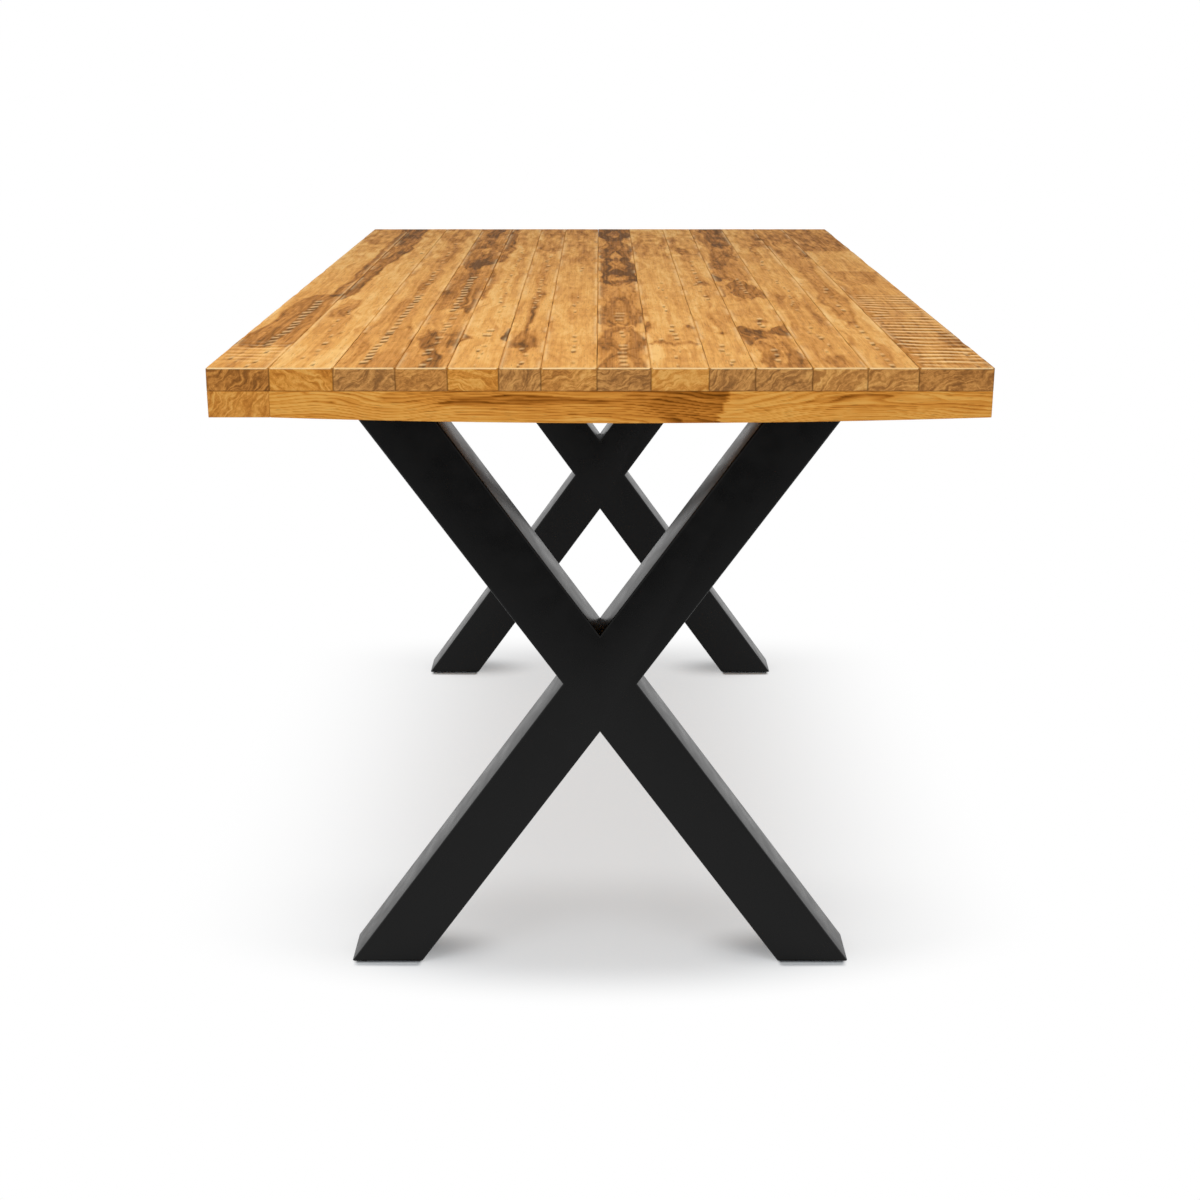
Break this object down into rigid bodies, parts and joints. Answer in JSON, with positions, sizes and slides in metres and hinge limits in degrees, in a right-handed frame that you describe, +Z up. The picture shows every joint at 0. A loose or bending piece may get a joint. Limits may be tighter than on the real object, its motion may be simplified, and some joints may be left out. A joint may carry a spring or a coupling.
{
  "type": "sawbuck dining table",
  "caption": "Dining table with a thick top of solid wood staves on a rail frame, carried by crossed frames of black square steel tube with levelling glides.",
  "frame": {"origin": "on the floor, under the middle of the table top", "axes": "+X across the table to its right side, +Y along it to its rear end, +Z up"},
  "size_m": [0.8, 1.4, 0.76],
  "materials": {
    "oiled_hardwood": "oiled, lightly textured hardwood",
    "bearer_wood": "plain sanded hardwood",
    "black_powder_coat": "satin black powder coat on mild steel",
    "zinc_plated_steel": "zinc plated",
    "brass_insert": "plain turned brass",
    "black_nylon": "moulded nylon"
  },
  "bodies": {
    "table": {"stave_01": "oiled_hardwood", "stave_02": "oiled_hardwood", "stave_03": "oiled_hardwood", "stave_04": "oiled_hardwood", "stave_05": "oiled_hardwood", "stave_06": "oiled_hardwood", "stave_07": "oiled_hardwood", "stave_08": "oiled_hardwood", "stave_09": "oiled_hardwood", "stave_10": "oiled_hardwood", "stave_11": "oiled_hardwood", "stave_12": "oiled_hardwood", "stave_13": "oiled_hardwood", "stave_14": "oiled_hardwood", "left_side_rail": "oiled_hardwood", "right_side_rail": "oiled_hardwood", "front_end_rail": "oiled_hardwood", "rear_end_rail": "oiled_hardwood", "front_bearer": "bearer_wood", "middle_bearer": "bearer_wood", "rear_bearer": "bearer_wood", "bearer_screws": "zinc_plated_steel", "front_long_tube": "black_powder_coat", "front_upper_tube": "black_powder_coat", "front_lower_tube": "black_powder_coat", "front_crossing_welds": "black_powder_coat", "front_mounting_plate": "black_powder_coat", "front_plate_welds": "black_powder_coat", "front_weld_nuts": "black_powder_coat", "front_plate_bolts": "zinc_plated_steel", "front_plate_washers": "zinc_plated_steel", "front_plate_inserts": "brass_insert", "rear_long_tube": "black_powder_coat", "rear_upper_tube": "black_powder_coat", "rear_lower_tube": "black_powder_coat", "rear_crossing_welds": "black_powder_coat", "rear_mounting_plate": "black_powder_coat", "rear_plate_welds": "black_powder_coat", "rear_weld_nuts": "black_powder_coat", "rear_plate_bolts": "zinc_plated_steel", "rear_plate_washers": "zinc_plated_steel", "rear_plate_inserts": "brass_insert", "front_left_foot_plate": "black_powder_coat", "front_right_foot_plate": "black_powder_coat", "rear_left_foot_plate": "black_powder_coat", "rear_right_foot_plate": "black_powder_coat"},
    "front_left_glide": {"front_left_glide_base": "black_nylon"},
    "front_left_stem": {"front_left_glide_stem": "zinc_plated_steel"},
    "front_right_glide": {"front_right_glide_base": "black_nylon"},
    "front_right_stem": {"front_right_glide_stem": "zinc_plated_steel"},
    "rear_left_glide": {"rear_left_glide_base": "black_nylon"},
    "rear_left_stem": {"rear_left_glide_stem": "zinc_plated_steel"},
    "rear_right_glide": {"rear_right_glide_base": "black_nylon"},
    "rear_right_stem": {"rear_right_glide_stem": "zinc_plated_steel"}
  },
  "joints": [
    {"name": "front_left_glide_slide", "type": "slide", "parent": "table", "child": "front_left_glide", "axis": [0, 0, -1], "range_m": [0, 0.009]},
    {"name": "front_left_stem_turn", "type": "hinge", "parent": "front_left_glide", "child": "front_left_stem", "pos_m": [-0.26, -0.517, 0.0065], "axis": [0, 0, -1], "range_deg": [0, 2160]},
    {"name": "front_right_glide_slide", "type": "slide", "parent": "table", "child": "front_right_glide", "axis": [0, 0, -1], "range_m": [0, 0.009]},
    {"name": "front_right_stem_turn", "type": "hinge", "parent": "front_right_glide", "child": "front_right_stem", "pos_m": [0.26, -0.517, 0.0065], "axis": [0, 0, -1], "range_deg": [0, 2160]},
    {"name": "rear_left_glide_slide", "type": "slide", "parent": "table", "child": "rear_left_glide", "axis": [0, 0, -1], "range_m": [0, 0.009]},
    {"name": "rear_left_stem_turn", "type": "hinge", "parent": "rear_left_glide", "child": "rear_left_stem", "pos_m": [-0.26, 0.517, 0.0065], "axis": [0, 0, -1], "range_deg": [0, 2160]},
    {"name": "rear_right_glide_slide", "type": "slide", "parent": "table", "child": "rear_right_glide", "axis": [0, 0, -1], "range_m": [0, 0.009]},
    {"name": "rear_right_stem_turn", "type": "hinge", "parent": "rear_right_glide", "child": "rear_right_stem", "pos_m": [0.26, 0.517, 0.0065], "axis": [0, 0, -1], "range_deg": [0, 2160]}
  ],
  "couplings": [
    {"joint": "front_left_stem_turn", "follows": "front_left_glide_slide", "rad_per_m": 4188.8},
    {"joint": "front_right_stem_turn", "follows": "front_right_glide_slide", "rad_per_m": 4188.8},
    {"joint": "rear_left_stem_turn", "follows": "rear_left_glide_slide", "rad_per_m": 4188.8},
    {"joint": "rear_right_stem_turn", "follows": "rear_right_glide_slide", "rad_per_m": 4188.8}
  ]
}
